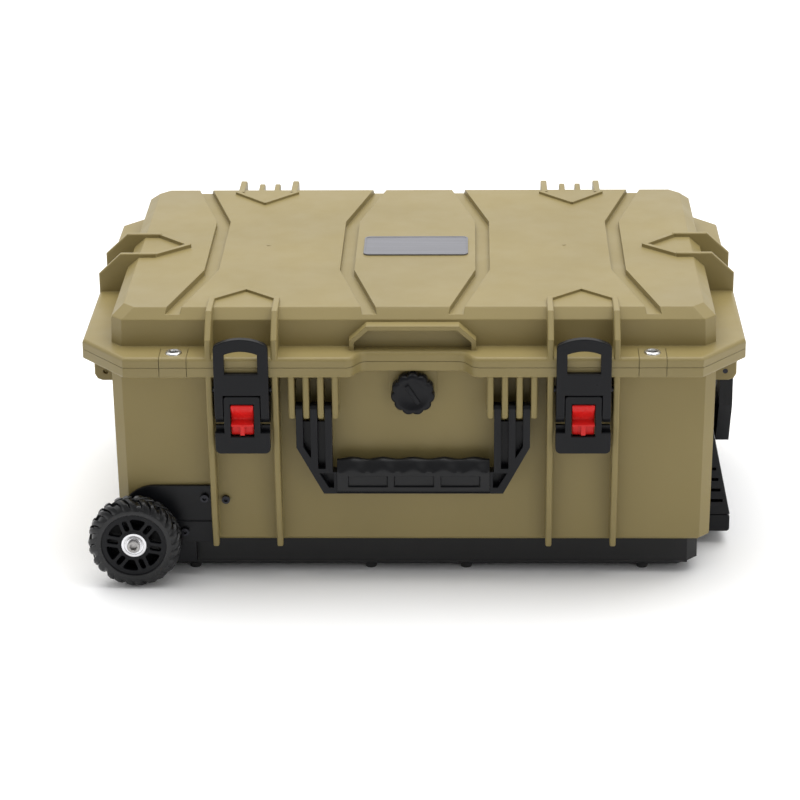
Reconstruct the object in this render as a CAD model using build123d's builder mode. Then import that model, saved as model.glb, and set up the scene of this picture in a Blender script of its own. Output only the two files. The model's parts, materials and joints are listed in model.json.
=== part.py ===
"""Wheeled hard equipment case: shells, latches, handles, valve, wheels and pull-out handle.

Millimetres. +Z is up, the origin is on the floor under the middle of the lid's rim,
the latched front faces -Y, the wheels are at the -X end and the pull handle at the +X end.
"""
import os

from build123d import *

os.makedirs("parts", exist_ok=True)

# ---------------------------------------------------------------- driving dimensions
WALL = 4.0
PIN_FIT = 0.06          # radial clearance of a pin in a part that turns on it
GAP = 0.3               # gap between the closed lid and the body

RIM_X = 279.5           # half length of the rim
RIM_Y = 200.5           # half depth of the rim
RIM_CUT = (39.0, 45.9)  # corner cut of the rim
RIM_LOW = 191.3
RIM_TOP = 208.7
PART_Z = 200.0          # parting plane, top of the body

NOTCH_Y = 15.0          # set-back of the rim in the middle of the front
NOTCH_IN = 37.0
NOTCH_OUT = 56.5

BODY_LOW = 33.0         # underside of the body
BODY_BASE = (252.6, 174.5)
BODY_HEAD = (254.3, 176.0)
BODY_CUT = (9.3, 9.5)

DOME_FOOT = (254.0, 172.0)
DOME_SHOULDER = (253.0, 171.0)
DOME_CROWN = (243.1, 162.4)
DOME_CUT = (9.5, 10.0)
DOME_Y = 0.8            # the dome sits this far behind the rim's middle
SHOULDER_Z = 231.7
CROWN_Z = 240.1
RIDGE_TOP = 243.6
RIDGE_LOW = 242.2

GROOVE_WIDTH = 12.4
GROOVE_DEPTH = 5.0
GROOVE_KINK = 67.0
GROOVES = ((176.3, 200.2), (58.7, 37.0))   # x at the straight middle, x at GROOVE_END
GROOVE_END = 163.0

LATCH_X = 142.0
LATCH_RIB = 27.4        # latch ribs stand this far each side of the latch's middle
LATCH_RIB_WIDTH = 5.2
LEVER_PIVOT = (-194.5, 179.0)
ARM_PIVOT = (-192.5, 162.5)
BUTTON_PIVOT = (-200.0, 166.0)
ARM_CLEARANCE = 19.95   # radius round the arm's pivot that the lever's panel keeps within
LATCH_FRONT = 206.0

HANDLE_Z = 160.0        # height of both carry handles' pivots
FRONT_PIVOT_Y = -187.5
SIDE_PIVOT_X = 267.8
HANDLE_RIBS = (64.7, 76.85, 89.0, 101.15)
HANDLE_RIB_WIDTH = 5.2
HANDLE_PIN_R = 2.2

HINGE_Y = 203.0
HINGE_Z = 200.15
HINGE_R = 5.5
HINGE_PIN_R = 2.5
HINGE_FINS = ((-24.6, 5.8), (-7.3, 5.2), (7.3, 5.2), (24.6, 5.8))
HINGE_KNUCKLES = ((-15.8, 10.6), (0.0, 8.2), (15.8, 10.6))

EYELET = (199.0, -187.5)
EYELET_BORE = 4.0
BLOCK_HALF = 11.3       # half width of the rim pieces that carry the padlock holes
BLOCK_SEAM = 0.35
BLOCK_BACK = -177.0

VALVE_Z = 171.5
VALVE_FACE = 177.5      # front of the valve pad

SIDE_FINS = (-31.0, 24.0)
SIDE_FIN_TIP = (202.0, -5.0)

WHEEL = (-237.6, 40.5)
WHEEL_R = 40.0
WHEEL_INNER = 182.5
WHEEL_OUTER = 205.5
AXLE_R = 4.0

BASE = (243.0, 171.0)
BASE_CUT = (9.3, 9.5)
BASE_LOW = 5.0
BASE_EDGE = 11.5        # the base tapers in below this height
BASE_TAPER = 8.0
FEET_X = (-190.5, -38.0, 44.5, 196.5)
FOOT_Y = 156.5
SCREW_GRID = (340.0, 280.0)

TUBE_Y = 85.0
TUBE_Z = 21.0
GRIP_HALF = 110.0       # half width of the pull grip and its cradle
GRIP_LOW = 11.5
GRIP_TOP = 27.6
CRADLE_FOOT_X = 275.4
CRADLE_TOP = (254.0, 127.0)


# ---------------------------------------------------------------- outlines
def octagon(half, cut, shrink=0.0, shift=0.0):
    """Corners of a rectangle with cut corners, shrunk evenly and shifted along Y."""
    x, y = half[0] - shrink, half[1] - shrink
    a, b = cut[0] - 0.4 * shrink, cut[1] - 0.4 * shrink
    return [
        (x, shift - y + b), (x, shift + y - b), (x - a, shift + y), (a - x, shift + y),
        (-x, shift + y - b), (-x, shift - y + b), (a - x, shift - y), (x - a, shift - y),
    ]


def bar(start, end, width):
    """Corners of a straight bar of the given width between two points."""
    run = Vector(end[0] - start[0], end[1] - start[1])
    side = Vector(-run.Y, run.X).normalized() * (width / 2)
    along = run.normalized() * (width * 0.3)
    first = Vector(*start) - along
    last = Vector(*end) + along
    return [(p.X, p.Y) for p in (first + side, first - side, last - side, last + side)]


def groove(middle, end, grow=0.0):
    """A channel that runs straight across the middle and turns away at both kinks."""
    reach = 185.0
    far = end + (end - middle) * (reach - GROOVE_END) / (GROOVE_END - GROOVE_KINK)
    half = GROOVE_WIDTH / 2 + grow
    line = [(far, reach), (middle, GROOVE_KINK), (middle, -GROOVE_KINK), (far, -reach)]
    left = [(x - half, y) for x, y in line]
    right = [(x + half, y) for x, y in reversed(line)]
    return left + right


def rim_notch():
    """The set-back in the rim's front edge, between two S-shaped flanks."""
    front = -RIM_Y
    back = NOTCH_Y - RIM_Y
    with BuildSketch() as sketch:
        with BuildLine():
            flank = Spline((-NOTCH_OUT, front), (-NOTCH_IN, back), tangents=[(1, 0), (1, 0)])
            Line(flank @ 1, (NOTCH_IN, back))
            Spline((NOTCH_IN, back), (NOTCH_OUT, front), tangents=[(1, 0), (1, 0)])
            Polyline((NOTCH_OUT, front), (NOTCH_OUT, front - 9), (-NOTCH_OUT, front - 9), flank @ 0)
        make_face()
    return sketch.sketch


def ring_section(outer, inner):
    """A flat ring."""
    Circle(outer)
    Circle(inner, mode=Mode.SUBTRACT)


# ---------------------------------------------------------------- pieces shared by both shells
def rim(low, high, top_radius, bottom_radius):
    """The flat rim of a shell, rounded along its outer edges."""
    with BuildPart() as plate:
        with BuildSketch(Plane.XY.offset(low)):
            with BuildLine():
                Polyline(*octagon((RIM_X, RIM_Y), RIM_CUT), close=True)
            make_face()
            add(rim_notch(), mode=Mode.SUBTRACT)
        extrude(amount=high - low)
        if top_radius:
            fillet(plate.faces().sort_by(Axis.Z)[-1].edges(), top_radius)
        if bottom_radius:
            fillet(plate.faces().sort_by(Axis.Z)[0].edges(), bottom_radius)
    return plate.part


def drafted(low, high, foot, head, cut, shrink=0.0, shift=0.0):
    """A block with cut corners whose sides lean slightly."""
    with BuildPart() as block:
        with BuildSketch(Plane.XY.offset(low)):
            with BuildLine():
                Polyline(*octagon(foot, cut, shrink, shift), close=True)
            make_face()
        with BuildSketch(Plane.XY.offset(high)):
            with BuildLine():
                Polyline(*octagon(head, cut, shrink, shift), close=True)
            make_face()
        loft()
    return block.part


def plate_along_x(outline, middle, width, soften=1.0):
    """A plate of the given YZ outline, centred on x = middle, with softened edges."""
    with BuildPart() as plate:
        with BuildSketch(Plane.YZ.offset(middle - width / 2)):
            Polygon(*outline, align=None)
        extrude(amount=width)
        if soften:
            sides = plate.faces().filter_by(Axis.X)
            fillet(sides.edges(), soften)
    return plate.part


def plate_along_y(outline, middle, width, soften=1.0):
    """A plate of the given XZ outline, centred on y = middle, with softened edges."""
    with BuildPart() as plate:
        with BuildSketch(Plane.XZ.offset(-middle - width / 2)):
            Polygon(*outline, align=None)
        extrude(amount=width)
        if soften:
            sides = plate.faces().filter_by(Axis.Y)
            fillet(sides.edges(), soften)
    return plate.part


def padlock_spaces(half):
    """Upright blocks round both padlock holes, from in front of the rim back to the body's wall."""
    with BuildPart() as spaces:
        with BuildSketch(Plane.XY.offset(RIM_LOW - 2)):
            for side in (-1, 1):
                with Locations((side * EYELET[0], (BLOCK_BACK - RIM_Y - 2) / 2)):
                    Rectangle(2 * half, RIM_Y + 2 + BLOCK_BACK)
        extrude(amount=RIM_TOP - RIM_LOW + 4)
    return spaces.part


def padlock_blocks(low, high, top_radius, bottom_radius):
    """The two pieces of the rim that carry the padlock holes."""
    with BuildPart() as blocks:
        add(rim(low, high, top_radius, bottom_radius))
        add(padlock_spaces(BLOCK_HALF), mode=Mode.INTERSECT)
        with BuildSketch(Plane.XY.offset(low - 1)):
            with Locations((-EYELET[0], EYELET[1]), (EYELET[0], EYELET[1])):
                Circle(EYELET_BORE + 1.17)
        extrude(amount=high - low + 2, mode=Mode.SUBTRACT)
    return blocks.part


# ---------------------------------------------------------------- body shell
latch_rib_outline = [
    (-173.0, 194.0), (-RIM_Y + 0.3, 194.0), (-RIM_Y + 0.3, 186.0), (-189.5, 60.0),
    (-183.5, 30.5), (-178.5, 30.5), (-173.0, 36.5),
]
handle_rib_depth = 10.7     # from the pivot to the front of the ribs

with BuildPart() as body_shell:
    add(drafted(BODY_LOW, PART_Z, BODY_BASE, BODY_HEAD, BODY_CUT))
    chamfer(body_shell.faces().sort_by(Axis.Z)[0].edges(), 2.2)
    add(rim(RIM_LOW, PART_Z, 0, 1.6))
    for middle in (-LATCH_X, LATCH_X):
        for side in (-LATCH_RIB, LATCH_RIB):
            add(plate_along_x(latch_rib_outline, middle + side, LATCH_RIB_WIDTH, 1.4))
    # knuckle ribs of the front carry handle
    front = FRONT_PIVOT_Y - handle_rib_depth
    for place in HANDLE_RIBS:
        for side in (-1, 1):
            outline = [
                (-173.0, 193.5), (front, 193.5), (front, 157.4), (front + 2.4, 153.1),
                (front + 6.6, 151.5), (-173.0, 151.5),
            ]
            add(plate_along_x(outline, side * place, HANDLE_RIB_WIDTH, 1.7))
    # knuckle ribs on both ends; only the +X end carries a handle
    for end in (-1, 1):
        edge = end * (SIDE_PIVOT_X + handle_rib_depth - 0.9)
        wall = end * 251.0
        for place in HANDLE_RIBS:
            for side in (-1, 1):
                outline = [
                    (wall, 193.5), (edge, 193.5), (edge, 157.4), (edge - end * 2.4, 153.1),
                    (edge - end * 6.6, 151.5), (wall, 151.5),
                ]
                add(plate_along_y(outline, side * place, HANDLE_RIB_WIDTH, 1.7))
    # pad behind the purge valve
    with BuildSketch(Plane.XZ.offset(173.0)):
        with Locations((0, VALVE_Z)):
            Circle(20.0)
        with Locations((0, (VALVE_Z + 192.0) / 2)):
            Rectangle(40.0, 192.0 - VALVE_Z)
    extrude(amount=VALVE_FACE - 173.0)
    # lid hinge knuckles and the rim's clearance for the lid's fins
    for middle in (-LATCH_X, LATCH_X):
        with BuildSketch(Plane.XY.offset(RIM_LOW - 1)):
            with Locations((middle, HINGE_Y + 3.7)):
                Rectangle(57.0, 20.0)
        extrude(amount=12, mode=Mode.SUBTRACT)
        for place, width in HINGE_KNUCKLES:
            with BuildSketch(Plane.YZ.offset(middle + place - width / 2)):
                with Locations((HINGE_Y, HINGE_Z)):
                    Circle(HINGE_R)
                Polygon(
                    (HINGE_Y + HINGE_R, HINGE_Z), (HINGE_Y - 4, HINGE_Z - 0.25), (190.0, PART_Z - 0.1),
                    (174.0, 192.0), (174.0, 152.0), (178.0, 152.0), (HINGE_Y + HINGE_R, 190.0), align=None,
                )
            extrude(amount=width)
    # cavity
    add(drafted(BODY_LOW + WALL, PART_Z + 0.01, BODY_BASE, BODY_HEAD, BODY_CUT, WALL), mode=Mode.SUBTRACT)
    # holes
    add(padlock_spaces(BLOCK_HALF + BLOCK_SEAM), mode=Mode.SUBTRACT)
    with BuildSketch(Plane.XZ.offset(168.0)):
        with Locations((0, VALVE_Z)):
            Circle(9.0)
    extrude(amount=12, mode=Mode.SUBTRACT)
    for middle in (-LATCH_X, LATCH_X):
        with BuildSketch(Plane.YZ.offset(middle - 28.7)):
            with Locations(LEVER_PIVOT):
                Circle(2.52)
        extrude(amount=57.4, mode=Mode.SUBTRACT)
        with BuildSketch(Plane.YZ.offset(middle - 30)):
            with Locations((HINGE_Y, HINGE_Z)):
                Circle(HINGE_PIN_R + 0.02)
        extrude(amount=60, mode=Mode.SUBTRACT)
    with BuildSketch(Plane.YZ.offset(-110)):
        with Locations((FRONT_PIVOT_Y, HANDLE_Z)):
            Circle(HANDLE_PIN_R + 0.02)
    extrude(amount=220, mode=Mode.SUBTRACT)
    with BuildSketch(Plane.XZ.offset(-110)):
        with Locations((-SIDE_PIVOT_X, HANDLE_Z), (SIDE_PIVOT_X, HANDLE_Z)):
            Circle(HANDLE_PIN_R + 0.02)
    extrude(amount=220, mode=Mode.SUBTRACT)
body_shell.part.label = "body_shell"
export_step(body_shell.part, "parts/body_shell.step")

# ---------------------------------------------------------------- lid shell
lid_rib_outline = [
    (-RIM_Y + 0.3, PART_Z + GAP), (-RIM_Y + 0.3, 224.3), (-181.0, RIDGE_TOP), (-146.5, RIDGE_TOP),
    (-143.5, 238.5), (-160.5, 238.0), (-168.0, 230.5), (-168.0, PART_Z + GAP),
]
side_fin_outline = [
    (RIM_X - 0.3, RIM_TOP - 3), (RIM_X - 0.3, 225.0), (259.3, RIDGE_TOP), (228.5, RIDGE_TOP),
    (226.5, 238.0), (242.0, 237.5), (250.5, 230.0), (251.0, RIM_TOP - 3),
]
outer_fin_outline = [
    (151.0, 238.0), (151.0, RIDGE_LOW), (190.0, 240.6), (196.0, 237.6), (199.0, 232.0),
    (HINGE_Y + HINGE_R, HINGE_Z), (HINGE_Y - HINGE_R, HINGE_Z), (194.0, PART_Z + GAP),
    (171.0, RIM_TOP - 2), (169.0, 230.0), (161.0, 238.0),
]
inner_fin_outline = [
    (164.0, 237.0), (190.0, 237.6), (195.5, 235.0), (198.3, 230.0),
    (HINGE_Y + HINGE_R, HINGE_Z), (HINGE_Y - HINGE_R, HINGE_Z), (194.0, PART_Z + GAP),
    (171.0, RIM_TOP - 2), (169.0, 229.0),
]

with BuildPart() as dome:
    add(drafted(RIM_TOP - 4, SHOULDER_Z, DOME_FOOT, DOME_SHOULDER, DOME_CUT, 0, DOME_Y))
    add(drafted(SHOULDER_Z, CROWN_Z, DOME_SHOULDER, DOME_CROWN, DOME_CUT, 0, DOME_Y))
    chosen = dome.edges().filter_by_position(Axis.Z, SHOULDER_Z - 1, CROWN_Z + 1)
    fillet(chosen, 1.3)

with BuildPart() as lid_shell:
    add(rim(PART_Z + GAP, RIM_TOP, 3.2, 0))
    for middle in (-LATCH_X, LATCH_X):
        with BuildSketch(Plane.XY.offset(PART_Z)):
            with Locations((middle, HINGE_Y + 3.7)):
                Rectangle(57.0, 20.0)
        extrude(amount=12, mode=Mode.SUBTRACT)
    add(dome.part)
    for middle in (-LATCH_X, LATCH_X):
        for side in (-LATCH_RIB, LATCH_RIB):
            add(plate_along_x(lid_rib_outline, middle + side, LATCH_RIB_WIDTH, 1.4))
        for place, width in HINGE_FINS:
            outline = outer_fin_outline if abs(place) > 10 else inner_fin_outline
            add(plate_along_x(outline, middle + place, width, 1.2))
            with BuildSketch(Plane.YZ.offset(middle + place - width / 2)):
                with Locations((HINGE_Y, HINGE_Z)):
                    Circle(HINGE_R)
            extrude(amount=width)
        # arrow ridges in front of the hinge and behind the latch
        with BuildSketch(Plane.XY.offset(CROWN_Z - 2)):
            for tip, foot in ((-120.2, -145.5), (120.0, 151.0)):
                for side in (-1, 1):
                    Polygon(*bar((middle + side * LATCH_RIB, foot), (middle, tip), 4.0), align=None)
        extrude(amount=RIDGE_LOW - CROWN_Z + 2)
    for end in (-1, 1):
        for place in SIDE_FINS:
            add(plate_along_y([(end * x, z) for x, z in side_fin_outline], place, 4.6, 1.2))
        with BuildSketch(Plane.XY.offset(CROWN_Z - 2)):
            for place in SIDE_FINS:
                tip = (end * SIDE_FIN_TIP[0], SIDE_FIN_TIP[1])
                Polygon(*bar((end * 229.5, place), tip, 4.2), align=None)
        extrude(amount=RIDGE_TOP - 0.6 - CROWN_Z + 2)
    # visor on the front of the dome
    with BuildSketch(Plane.XZ.offset(167.0)):
        with BuildLine():
            Polyline((-53, 204), (-53, 217), (-38.7, 229.8), (38.7, 229.8), (53, 217), (53, 204), close=True)
        make_face()
        with BuildLine():
            Polyline((-49, 203), (-49, 215.4), (-37.2, 226.2), (37.2, 226.2), (49, 215.4), (49, 203), close=True)
        make_face(mode=Mode.SUBTRACT)
    extrude(amount=15.0)
    # small moulding gates on the crown
    with BuildSketch(Plane.XY.offset(CROWN_Z - 1)):
        with Locations((-131, 0), (131, 0)):
            Circle(1.6)
    extrude(amount=1.3)
    # cavity, with the crown kept thick under each groove
    add(drafted(PART_Z, SHOULDER_Z, DOME_FOOT, DOME_SHOULDER, DOME_CUT, WALL + 1.5, DOME_Y), mode=Mode.SUBTRACT)
    add(
        drafted(SHOULDER_Z, CROWN_Z - WALL, DOME_SHOULDER, DOME_CROWN, DOME_CUT, WALL + 1.5, DOME_Y),
        mode=Mode.SUBTRACT,
    )
    floor_z = CROWN_Z - GROOVE_DEPTH - 3.0
    with BuildSketch(Plane.XY.offset(floor_z)):
        with BuildLine():
            Polyline(*octagon(DOME_CROWN, DOME_CUT, 1.0, DOME_Y), close=True)
        make_face()
        with BuildSketch(mode=Mode.INTERSECT):
            for middle, end in GROOVES:
                for side in (-1, 1):
                    Polygon(*groove(side * middle, side * end, 3.0), align=None)
    extrude(amount=CROWN_Z - WALL + 0.5 - floor_z)
    with BuildSketch(Plane.XY.offset(CROWN_Z - GROOVE_DEPTH)):
        for middle, end in GROOVES:
            for side in (-1, 1):
                Polygon(*groove(side * middle, side * end), align=None)
    extrude(amount=GROOVE_DEPTH + 1, mode=Mode.SUBTRACT)
    # groove for the seal
    with BuildSketch(Plane.XY.offset(PART_Z + GAP)):
        with BuildLine():
            Polyline(*octagon((255.1, 176.1), (12, 12)), close=True)
        make_face()
        with BuildLine():
            Polyline(*octagon((249.9, 170.9), (10, 10)), close=True)
        make_face(mode=Mode.SUBTRACT)
    extrude(amount=3.2, mode=Mode.SUBTRACT)
    add(padlock_spaces(BLOCK_HALF + BLOCK_SEAM), mode=Mode.SUBTRACT)
    for middle in (-LATCH_X, LATCH_X):
        with BuildSketch(Plane.YZ.offset(middle - 30)):
            with Locations((HINGE_Y, HINGE_Z)):
                Circle(HINGE_PIN_R + PIN_FIT)
        extrude(amount=60, mode=Mode.SUBTRACT)
lid_shell.part.label = "lid_shell"
export_step(lid_shell.part, "parts/lid_shell.step")

with BuildPart() as lid_seal:
    with BuildSketch(Plane.XY.offset(PART_Z + GAP + 0.05)):
        with BuildLine():
            Polyline(*octagon((255.0, 176.0), (12, 12)), close=True)
        make_face()
        with BuildLine():
            Polyline(*octagon((250.0, 171.0), (10, 10)), close=True)
        make_face(mode=Mode.SUBTRACT)
    extrude(amount=3.1)
lid_seal.part.label = "lid_seal"
export_step(lid_seal.part, "parts/lid_seal.step")

with BuildPart() as label_plate:
    with BuildSketch(Plane.XY.offset(CROWN_Z)):
        with Locations((0, -4.0)):
            RectangleRounded(92.0, 50.0, 5.0)
    extrude(amount=1.4)
    fillet(label_plate.faces().sort_by(Axis.Z)[-1].edges(), 0.6)
label_plate.part.label = "label_plate"
export_step(label_plate.part, "parts/label_plate.step")

# ---------------------------------------------------------------- padlock blocks and eyelets
with BuildPart() as body_padlock_blocks:
    add(padlock_blocks(RIM_LOW, PART_Z, 0, 1.6))
body_padlock_blocks.part.label = "body_padlock_blocks"
export_step(body_padlock_blocks.part, "parts/body_padlock_blocks.step")

with BuildPart() as lid_padlock_blocks:
    add(padlock_blocks(PART_Z + GAP, RIM_TOP, 3.2, 0))
lid_padlock_blocks.part.label = "lid_padlock_blocks"
export_step(lid_padlock_blocks.part, "parts/lid_padlock_blocks.step")

with BuildPart() as body_eyelets:
    for side in (-1, 1):
        with BuildSketch(Plane.XY.offset(RIM_LOW - 1.2)):
            with Locations((side * EYELET[0], EYELET[1])):
                ring_section(7.0, EYELET_BORE)
        extrude(amount=1.2)
        with BuildSketch(Plane.XY.offset(RIM_LOW - 1.2)):
            with Locations((side * EYELET[0], EYELET[1])):
                ring_section(EYELET_BORE + 1.15, EYELET_BORE)
        extrude(amount=PART_Z - RIM_LOW + 1.2)
body_eyelets.part.label = "body_eyelets"
export_step(body_eyelets.part, "parts/body_eyelets.step")

with BuildPart() as lid_eyelets:
    for side in (-1, 1):
        with BuildSketch(Plane.XY.offset(RIM_TOP)):
            with Locations((side * EYELET[0], EYELET[1])):
                ring_section(7.0, EYELET_BORE)
        extrude(amount=1.3)
        with BuildSketch(Plane.XY.offset(PART_Z + GAP)):
            with Locations((side * EYELET[0], EYELET[1])):
                ring_section(EYELET_BORE + 1.15, EYELET_BORE)
        extrude(amount=RIM_TOP - PART_Z - GAP + 1.3)
lid_eyelets.part.label = "lid_eyelets"
export_step(lid_eyelets.part, "parts/lid_eyelets.step")

with BuildPart() as hinge_pins:
    for middle in (-LATCH_X, LATCH_X):
        with BuildSketch(Plane.YZ.offset(middle - 27.3)):
            with Locations((HINGE_Y, HINGE_Z)):
                Circle(HINGE_PIN_R)
        extrude(amount=54.6)
hinge_pins.part.label = "hinge_pins"
export_step(hinge_pins.part, "parts/hinge_pins.step")

# ---------------------------------------------------------------- purge valve
with BuildPart() as valve_body:
    with BuildSketch(Plane.XZ.offset(VALVE_FACE)):
        with Locations((0, VALVE_Z)):
            ring_section(13.0, 5.0)
    extrude(amount=2.2)
    with BuildSketch(Plane.XZ.offset(163.0)):
        with Locations((0, VALVE_Z)):
            ring_section(8.9, 5.0)
    extrude(amount=VALVE_FACE - 163.0)
valve_body.part.label = "valve_body"
export_step(valve_body.part, "parts/valve_body.step")

with BuildPart() as valve_nut:
    with BuildSketch(Plane.XZ.offset(165.5)):
        with Locations((0, VALVE_Z)):
            RegularPolygon(13.0, 6)
            Circle(8.95, mode=Mode.SUBTRACT)
    extrude(amount=5.0)
valve_nut.part.label = "valve_nut"
export_step(valve_nut.part, "parts/valve_nut.step")

with BuildPart() as valve_knob:
    with BuildSketch(Plane.XZ.offset(VALVE_FACE + 2.5)):
        with Locations((0, VALVE_Z)):
            Circle(17.4)
            with PolarLocations(16.4, 11, start_angle=90):
                Circle(2.6)
    extrude(amount=10.5)
    fillet(valve_knob.faces().sort_by(Axis.Y)[0].edges(), 0.9)
    with BuildSketch(Plane.XZ.offset(VALVE_FACE + 13.0)):
        with Locations((0, VALVE_Z)):
            Circle(12.6)
            with Locations(Rotation(0, 0, 58)):
                Rectangle(30.0, 2.6, mode=Mode.SUBTRACT)
    extrude(amount=-1.2, mode=Mode.SUBTRACT)
    with BuildSketch(Plane.XZ.offset(166.0)):
        with Locations((0, VALVE_Z)):
            Circle(5.0 - PIN_FIT)
    extrude(amount=VALVE_FACE + 4 - 166.0)
valve_knob.part.label = "valve_knob"
export_step(valve_knob.part, "parts/valve_knob.step")


# ---------------------------------------------------------------- carry handles
def handle_frame(face, across):
    """Moulded handle frame on a plane through its pivot; across is the pivot's direction."""
    with BuildPart() as frame:
        with BuildSketch(face.offset(-4.0)):
            with BuildLine():
                Polyline(
                    (-98.0, 4.6), (-98.0, -33.5), (-75.6, -75.6), (75.6, -75.6), (98.0, -33.5), (98.0, 4.6),
                    (67.9, 4.6), (67.9, -56), (-67.9, -56), (-67.9, 4.6), close=True,
                )
            make_face()
            for side in (-1, 1):
                for inner, outer in ((73.7, 80.05), (85.85, 92.2)):
                    with Locations((side * (inner + outer) / 2, 0)):
                        Rectangle(outer - inner, 26.4, mode=Mode.SUBTRACT)
        extrude(amount=11.5)
        tops = frame.edges().group_by(Axis.Z)[-1].filter_by(across)
        fillet(tops, 4.2)
        with BuildSketch(face.offset(7.5)):
            for side in (-1, 1):
                Polygon(
                    (side * 73.7, 1), (side * 80.05, 1), (side * 80.05, -53), (side * 73.7, -53), align=None,
                )
                Polygon(
                    (side * 85.85, 1), (side * 92.2, 1), (side * 92.2, -33), (side * 85.85, -43.5), align=None,
                )
                Polygon(
                    (side * 67.0, -57), (side * 79.0, -57), (side * 71.2, -70.2), (side * 67.0, -70.2), align=None,
                )
        extrude(amount=-8.5, mode=Mode.SUBTRACT)
        # the bar is slimmer where the grip is moulded round it
        with BuildSketch(face.offset(-4.0)):
            with Locations((0, -65.0)):
                Rectangle(129.0, 19.2)
        extrude(amount=11.5, mode=Mode.SUBTRACT)
        with BuildSketch(face.offset(-1.5)):
            with Locations((0, -65.0)):
                Rectangle(131.0, 10.0)
        extrude(amount=6.5)
        with BuildSketch(Plane(origin=face.origin, z_dir=face.x_dir)):
            Circle(HANDLE_PIN_R + PIN_FIT)
        extrude(amount=110, both=True, mode=Mode.SUBTRACT)
    return frame.part


def handle_grip(face):
    """Soft grip moulded round the handle's bar, with finger waves along its top."""
    crest, trough, half = -45.0, -46.8, 64.3
    with BuildPart() as grip:
        with BuildSketch(face.offset(-4.0)):
            with BuildLine():
                waves = [(-half, trough)]
                for step in range(1, 10):
                    waves.append((-half + step * half / 5, crest if step % 2 else trough))
                waves.append((half, trough))
                top = Spline(*waves)
                Polyline(top @ 1, (half, -74.4), (-half, -74.4), top @ 0)
            make_face()
        extrude(amount=11.9)
        fillet(grip.edges().filter_by(GeomType.BSPLINE), 3.2)
        with BuildSketch(face.offset(-1.55)):
            with Locations((0, -65.0)):
                Rectangle(131.0, 10.1)
        extrude(amount=6.6, mode=Mode.SUBTRACT)
        with BuildSketch(face.offset(7.9)):
            with Locations((-38.5, -64.4), (0, -64.4), (38.5, -64.4)):
                RectangleRounded(33.0, 8.0, 1.5)
        extrude(amount=-1.6, mode=Mode.SUBTRACT)
    return grip.part


def handle_pins(face):
    """The two pivot pins of a carry handle."""
    with BuildPart() as pins:
        for side in (-1, 1):
            with BuildSketch(Plane(origin=face.origin, z_dir=face.x_dir).offset(side * 61.9)):
                Circle(HANDLE_PIN_R)
            extrude(amount=side * 42.0)
    return pins.part


front_face = Plane(origin=(0, FRONT_PIVOT_Y, HANDLE_Z), x_dir=(1, 0, 0), z_dir=(0, -1, 0))
side_face = Plane(origin=(SIDE_PIVOT_X, 0, HANDLE_Z), x_dir=(0, 1, 0), z_dir=(1, 0, 0))
for place, face, across in (("front", front_face, Axis.X), ("side", side_face, Axis.Y)):
    with BuildPart() as carry_frame:
        add(handle_frame(face, across))
    carry_frame.part.label = f"{place}_handle_frame"
    export_step(carry_frame.part, f"parts/{place}_handle_frame.step")

    with BuildPart() as carry_grip:
        add(handle_grip(face))
    carry_grip.part.label = f"{place}_handle_grip"
    export_step(carry_grip.part, f"parts/{place}_handle_grip.step")

    with BuildPart() as carry_pins:
        add(handle_pins(face))
    carry_pins.part.label = f"{place}_handle_pins"
    export_step(carry_pins.part, f"parts/{place}_handle_pins.step")

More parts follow.
